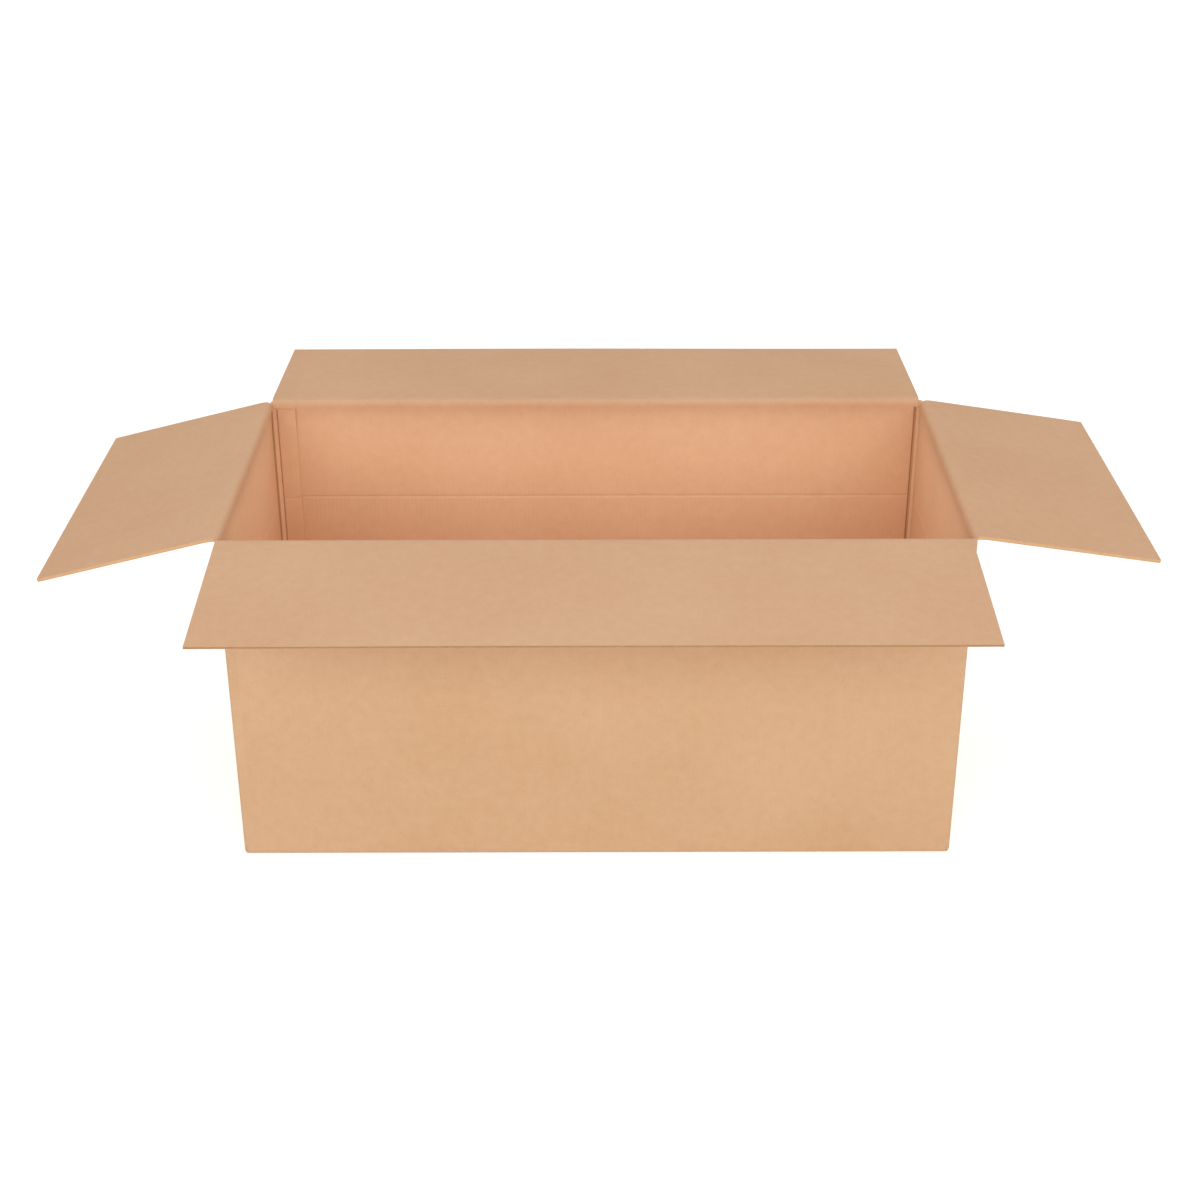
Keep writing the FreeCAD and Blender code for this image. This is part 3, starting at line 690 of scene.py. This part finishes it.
class Nodes:
    """Short way to write a material's nodes and links."""

    def __init__(self, name):
        self.material = bpy.data.materials.new(name)
        self.material.use_nodes = True
        self.tree = self.material.node_tree
        self.shader = self.tree.nodes["Principled BSDF"]

    def link(self, source, target):
        self.tree.links.new(source, target)

    def put(self, target, value):
        if isinstance(value, bpy.types.NodeSocket):
            self.link(value, target)
        else:
            target.default_value = value

    def place(self, scale, offset=(0, 0, 0)):
        """Place on the flat sheet, in metres, times scale."""
        source = self.tree.nodes.new("ShaderNodeUVMap")
        source.uv_map = "sheet"
        mapping = self.tree.nodes.new("ShaderNodeMapping")
        mapping.inputs["Scale"].default_value = scale
        mapping.inputs["Location"].default_value = offset
        self.link(source.outputs["UV"], mapping.inputs["Vector"])
        return mapping.outputs["Vector"]

    def noise(self, place, scale, detail=3, roughness=0.5):
        node = self.tree.nodes.new("ShaderNodeTexNoise")
        self.link(place, node.inputs["Vector"])
        node.inputs["Scale"].default_value = scale
        node.inputs["Detail"].default_value = detail
        node.inputs["Roughness"].default_value = roughness
        return node.outputs["Fac"]

    def math(self, operation, *values):
        node = self.tree.nodes.new("ShaderNodeMath")
        node.operation = operation
        for socket, value in zip(node.inputs, values):
            self.put(socket, value)
        return node.outputs["Value"]

    def spread(self, value, low, high, to_low=0.0, to_high=1.0):
        node = self.tree.nodes.new("ShaderNodeMapRange")
        for name, part in zip(("Value", "From Min", "From Max", "To Min", "To Max"),
                              (value, low, high, to_low, to_high)):
            self.put(node.inputs[name], part)
        return node.outputs["Result"]

    def mix(self, share, first, second):
        node = self.tree.nodes.new("ShaderNodeMix")
        node.data_type = "RGBA"
        self.put(node.inputs[0], share)
        self.put(node.inputs[6], first)
        self.put(node.inputs[7], second)
        return node.outputs[2]

    def bump(self, height, distance, strength=1.0):
        node = self.tree.nodes.new("ShaderNodeBump")
        node.inputs["Distance"].default_value = distance
        node.inputs["Strength"].default_value = strength
        self.link(height, node.inputs["Height"])
        self.link(node.outputs["Normal"], self.shader.inputs["Normal"])


def kraft(name, dark, light, seed, fleck, stripes):
    """Kraft liner: clouds, mottling, fibres across the flutes, flute stripes, dark and pale flecks, and
    painted shade in the grooves.
    """
    nodes = Nodes(name)
    plain = nodes.place((1, 1, 1), (seed, seed * 0.37, 0))
    clouds = nodes.noise(plain, 4, 4, 0.55)
    mottle = nodes.noise(plain, 55, 5, 0.6)
    grain = nodes.noise(plain, 420, 3, 0.6)
    fibres = nodes.noise(nodes.place((70, 900, 1), (seed, 0, 0)), 1, 3, 0.6)
    across = nodes.tree.nodes.new("ShaderNodeSeparateXYZ")
    nodes.link(nodes.place((2 * math.pi / C_PITCH, 1, 1)), across.inputs["Vector"])
    ridge = nodes.math("COSINE", across.outputs["X"])
    total = nodes.math("MULTIPLY", nodes.math("SUBTRACT", clouds, 0.5), 0.9)
    for part, weight in ((mottle, 0.9), (grain, 0.7), (fibres, 0.5)):
        total = nodes.math("ADD", total, nodes.math("MULTIPLY", nodes.math("SUBTRACT", part, 0.5), weight))
    total = nodes.math("ADD", total, nodes.math("MULTIPLY", ridge, stripes))
    share = nodes.math("ADD", total, 0.5)
    share.node.use_clamp = True
    colour = nodes.mix(share, linear(dark), linear(light))
    specks = nodes.noise(nodes.place((1, 1.6, 1), (seed * 2, 3, 0)), 300, 1, 0.4)
    colour = nodes.mix(nodes.spread(specks, 0.745, 0.80, 0, 0.55), colour, linear(fleck))
    pale = nodes.noise(nodes.place((1.7, 1, 1), (seed * 3, 8, 0)), 260, 1, 0.4)
    colour = nodes.mix(nodes.spread(pale, 0.75, 0.80, 0, 0.35), colour, linear("EFD3B0"))
    # Painted shade: the groove value mixes the paper towards dark brown A3682F where the grooves' shade
    # falls, partly the real darkening of crushed paper.
    groove_shade = nodes.tree.nodes.new("ShaderNodeAttribute")
    groove_shade.attribute_name = "groove_shade"
    colour = nodes.mix(nodes.math("MULTIPLY", groove_shade.outputs["Fac"], 0.75), colour, linear("A3682F"))
    nodes.link(colour, nodes.shader.inputs["Base Color"])
    nodes.link(nodes.spread(mottle, 0.3, 0.7, 0.70, 0.86), nodes.shader.inputs["Roughness"])
    nodes.shader.inputs["Specular IOR Level"].default_value = 0.28
    nodes.bump(nodes.math("ADD", grain, nodes.math("MULTIPLY", fibres, 0.7)), 0.00012, 0.6)
    return nodes.material


def cut_board():
    """Cut ends of the board: rougher, more orange paper with lines of liner and medium."""
    nodes = Nodes("cut_board")
    plain = nodes.place((1, 1, 1), (4, 4, 0))
    torn = nodes.noise(plain, 900, 3, 0.6)
    patches = nodes.noise(plain, 45, 3, 0.5)
    share = nodes.math("ADD", nodes.math("MULTIPLY", torn, 0.6), nodes.math("MULTIPLY", patches, 0.4))
    colour = nodes.mix(nodes.spread(share, 0.35, 0.65), linear("E0B082"), linear("EEC59B"))
    nodes.link(colour, nodes.shader.inputs["Base Color"])
    nodes.link(nodes.spread(torn, 0.3, 0.7, 0.8, 0.95), nodes.shader.inputs["Roughness"])
    nodes.shader.inputs["Specular IOR Level"].default_value = 0.2
    nodes.bump(torn, 0.00025, 0.7)
    return nodes.material


def packing_film():
    """Brown packing tape: glossy film with stretch lines along it and small bubbles under it."""
    nodes = Nodes("packing_film")
    lines = nodes.noise(nodes.place((420, 9, 1)), 1, 3, 0.6)
    bubbles = nodes.noise(nodes.place((1, 1, 1), (2, 2, 0)), 160, 2, 0.5)
    share = nodes.math("ADD", nodes.math("MULTIPLY", lines, 0.6), nodes.math("MULTIPLY", bubbles, 0.4))
    colour = nodes.mix(nodes.spread(share, 0.35, 0.65), linear("9A6233"), linear("B47B45"))
    nodes.link(colour, nodes.shader.inputs["Base Color"])
    nodes.link(nodes.spread(bubbles, 0.35, 0.7, 0.16, 0.32), nodes.shader.inputs["Roughness"])
    nodes.shader.inputs["Coat Weight"].default_value = 0.4
    nodes.bump(nodes.math("ADD", lines, nodes.spread(bubbles, 0.6, 0.75)), 0.0001, 0.6)
    return nodes.material


def hinge_angle(side):
    """Droop of a flap at rest, as its solid lies: from the fold to the solid's far lower edge."""
    low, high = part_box(f"{side}_top_flap")
    hinge = JOINTS[f"{side}_fold"]["pos_m"]
    under = FULL_BOARD / 2 if side in ("front", "back") else 0
    drop = hinge[2] - low.z
    return math.asin(drop / math.hypot(FLAP_REACH, under)) - math.atan2(under, FLAP_REACH)


def curl(out_bend, twist, wave):
    """Warp of a flap: a curl that grows with the square of v, a twist along u and a long shallow wave."""
    def warp(u, v):
        share = v / 0.29
        return (out_bend * share ** 2 + twist * share * u / 0.6 + wave * share * np.cos(u * 5.1 + 0.6)) * MM
    return warp


def make_pieces():
    inside = kraft("kraft_inside", "DEB089", "ECC39E", 1.3, "9C7350", 0.012)
    outside = kraft("kraft_outside", "DFB389", "EDC7A0", 7.9, "8F6848", 0.01)
    board = (inside, outside, cut_board())
    walls = wall_ring().build(board)
    posts = corner_posts().build(board, fill=OUTSIDE)
    tab = glue_tab().build(board, fill=INSIDE)
    for piece in (walls, posts, tab):
        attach(piece, "carton")
    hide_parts("carton_body")

    flaps = (("front", FULL_BOARD / 2, curl(-0.6, 0.5, 0.5), 4.5 * MM, 2.2 * MM),
             ("back", FULL_BOARD / 2, curl(-0.5, -0.6, 0.6), 0, 1 * MM),
             ("left", FULL_BOARD, curl(-0.8, 0.8, 0.4), 0, 0.5 * MM),
             ("right", FULL_BOARD, curl(-0.6, -0.6, 0.4), 0, 0.5 * MM))
    for side, lift, warp, taper, crushed in flaps:
        low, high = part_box(f"{side}_top_flap")
        ends = (low.x, high.x) if side in ("front", "back") else (low.y, high.y)
        hinge = JOINTS[f"{side}_fold"]["pos_m"]
        droop = hinge_angle(side)
        flap = top_flap(f"{side}_flap_board", side, hinge, droop, lift, FLAP_REACH - 0.3 * MM, ends, taper,
                        crushed, warp)
        piece = flap.build(board)
        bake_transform(piece)
        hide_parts(f"{side}_top_flap")

    still = lambda u, v: 0 * u * v
    rise = lambda u, v: 1.6 * MM * (v / 0.28) ** 2 + 0 * u
    long_ends = (-HALF_LENGTH + 3 * MM, HALF_LENGTH - 3 * MM)
    short_ends = (-HALF_WIDTH + 9 * MM, HALF_WIDTH - 9 * MM)
    for side in ("front", "back"):
        flap = bottom_flap(f"{side}_bottom_board", side, 0.0, HALF_WIDTH - 0.5 * MM, long_ends, still)
        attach(flap.build(board), "carton")
    for side in ("left", "right"):
        flap = bottom_flap(f"{side}_bottom_board", side, LAP_TOP, HALF_WIDTH, short_ends, rise)
        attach(flap.build(board), "carton")
    tape = bottom_tape().build((packing_film(),))
    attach(tape, "carton")
    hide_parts("bottom_tape")


def make_floor():
    """Pale floor: white to the camera where it is lit, darker under the carton."""
    mesh = bpy.data.meshes.new("floor")
    size = 40
    corners = [(-size, -size, 0), (size, -size, 0), (size, size, 0), (-size, size, 0)]
    mesh.from_pydata(corners, [], [(0, 1, 2, 3)])
    floor = bpy.data.objects.new("floor", mesh)
    bpy.context.scene.collection.objects.link(floor)
    floor.location.z = -0.0005
    material = bpy.data.materials.new("floor_paint")
    material.use_nodes = True
    tree = material.node_tree
    paint = tree.nodes["Principled BSDF"]
    paint.inputs["Base Color"].default_value = (0.8, 0.8, 0.8, 1)
    paint.inputs["Roughness"].default_value = 0.9
    paint.inputs["Specular IOR Level"].default_value = 0
    seen = tree.nodes.new("ShaderNodeLightPath")
    white = tree.nodes.new("ShaderNodeEmission")
    white.inputs["Color"].default_value = (1, 1, 1, 1)
    glow = tree.nodes.new("ShaderNodeMath")
    glow.operation = "MULTIPLY"
    tree.links.new(seen.outputs["Is Camera Ray"], glow.inputs[0])
    glow.inputs[1].default_value = 0.6
    tree.links.new(glow.outputs["Value"], white.inputs["Strength"])
    both = tree.nodes.new("ShaderNodeAddShader")
    tree.links.new(paint.outputs["BSDF"], both.inputs[0])
    tree.links.new(white.outputs["Emission"], both.inputs[1])
    tree.links.new(both.outputs["Shader"], tree.nodes["Material Output"].inputs["Surface"])
    mesh.materials.append(material)


def make_light():
    """Pale sky with a white backdrop, a front panel, and a weak lamp in the mouth of the carton.

    The lamp is hidden from the camera and lies under the closed flaps, so it lights the inside only."""
    world = bpy.data.worlds.new("studio")
    bpy.context.scene.world = world
    world.use_nodes = True
    tree = world.node_tree
    sky = tree.nodes["Background"]
    sky.inputs["Color"].default_value = (1, 0.965, 0.94, 1)
    sky.inputs["Strength"].default_value = 0.66
    backdrop = tree.nodes.new("ShaderNodeBackground")
    backdrop.inputs["Strength"].default_value = 1
    path = tree.nodes.new("ShaderNodeLightPath")
    either = tree.nodes.new("ShaderNodeMath")
    either.operation = "MAXIMUM"
    every = tree.nodes.new("ShaderNodeMath")
    every.operation = "MAXIMUM"
    tree.links.new(path.outputs["Is Camera Ray"], either.inputs[0])
    tree.links.new(path.outputs["Is Glossy Ray"], either.inputs[1])
    tree.links.new(either.outputs["Value"], every.inputs[0])
    tree.links.new(path.outputs["Is Transmission Ray"], every.inputs[1])
    choice = tree.nodes.new("ShaderNodeMixShader")
    tree.links.new(every.outputs["Value"], choice.inputs["Fac"])
    tree.links.new(sky.outputs["Background"], choice.inputs[1])
    tree.links.new(backdrop.outputs["Background"], choice.inputs[2])
    tree.links.new(choice.outputs["Shader"], tree.nodes["World Output"].inputs["Surface"])
    add_lamp("front_panel", (0, -4.4, 2.5), 6, 2.2, 84)
    fill = add_lamp("inner_fill", (0, 0, WALL_TOP - 1 * MM), 1.12, 0.52, 0.88)
    fill.visible_camera = False
    fill.data.color = (0.95, 1, 1)


def add_lamp(name, position, width, height, power):
    """Rectangular lamp that points at the middle of the carton."""
    lamp = bpy.data.lights.new(name, "AREA")
    lamp.shape = "RECTANGLE"
    lamp.size = width
    lamp.size_y = height
    lamp.energy = power
    piece = bpy.data.objects.new(name, lamp)
    bpy.context.scene.collection.objects.link(piece)
    piece.location = position
    aim = Vector((0, 0, 0.4)) - piece.location
    piece.rotation_euler = aim.to_track_quat("-Z", "Y").to_euler()
    return piece


def make_camera():
    """Camera of the photograph: 59.3 mm on a 36 mm frame, looking 27 degrees down from the front."""
    lens = bpy.data.cameras.new("camera")
    lens.sensor_width = 36
    lens.lens = 59.34
    lens.clip_end = 200
    camera = bpy.data.objects.new("camera", lens)
    bpy.context.scene.collection.objects.link(camera)
    camera.location = (0.0061, -3.1033, 1.9226)
    camera.rotation_euler = (math.radians(90 - 27.15), 0, 0)
    camera.rotation_euler.rotate_axis("Z", math.radians(-0.14))
    bpy.context.scene.camera = camera


make_pieces()
make_floor()
make_light()
make_camera()
bpy.context.scene.view_settings.view_transform = "Standard"
